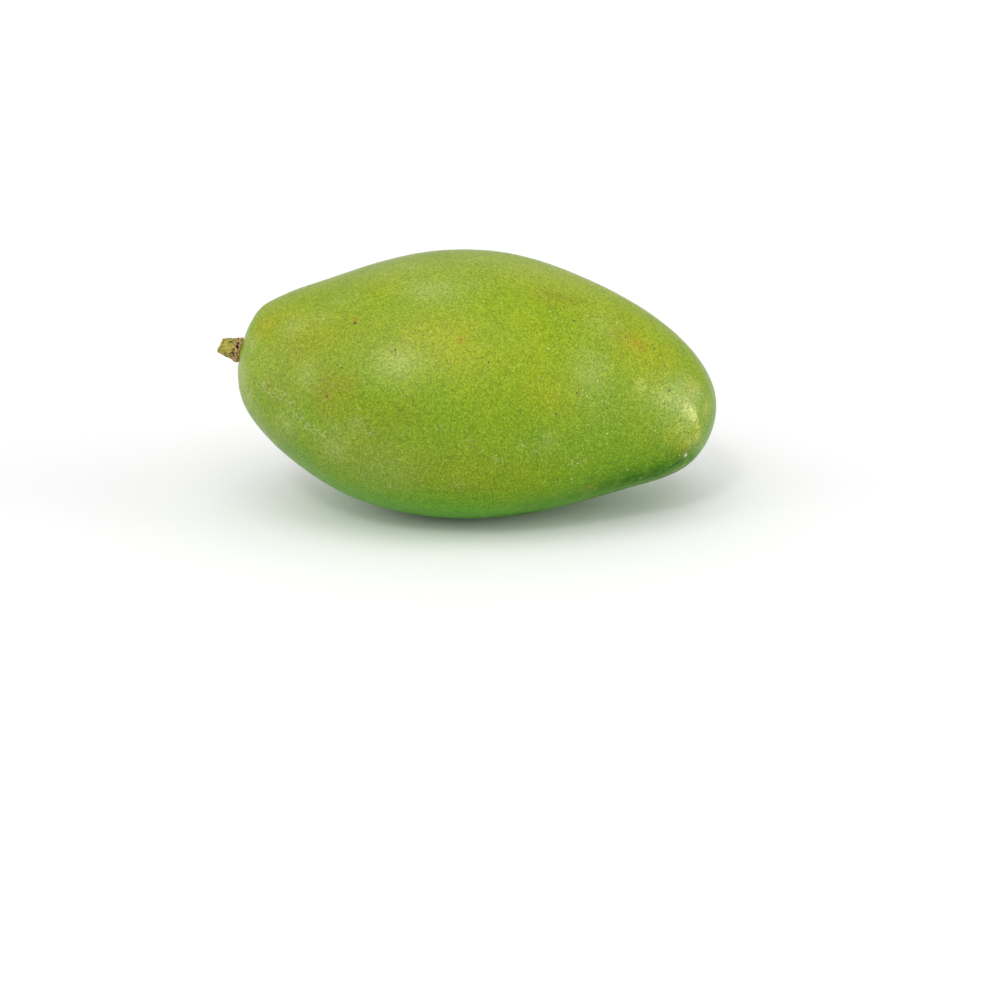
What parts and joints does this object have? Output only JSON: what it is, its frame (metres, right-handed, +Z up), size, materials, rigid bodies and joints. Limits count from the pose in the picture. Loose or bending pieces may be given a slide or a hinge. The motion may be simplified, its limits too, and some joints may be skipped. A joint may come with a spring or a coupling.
{
  "type": "mango",
  "caption": "Unripe green mango with a beaked tip and the cut stub of its stalk, lying on its side on a small flat spot.",
  "frame": {"origin": "centre of the small flat spot that the fruit rests on", "axes": "+Z up, away from the surface it lies on. +X from the stalk end to the beaked end. The belly side leans down towards -Y."},
  "size_m": [0.1449, 0.0797, 0.0755],
  "materials": {
    "skin": "waxy skin with a soft sheen, yellow-green mottled with greener and olive patches and fine pale dots",
    "stalk": "dull olive-green stalk with fine ribs and a rough brown collar"
  },
  "bodies": {
    "root": {"fruit": "skin", "stalk": "stalk"}
  },
  "joints": []
}
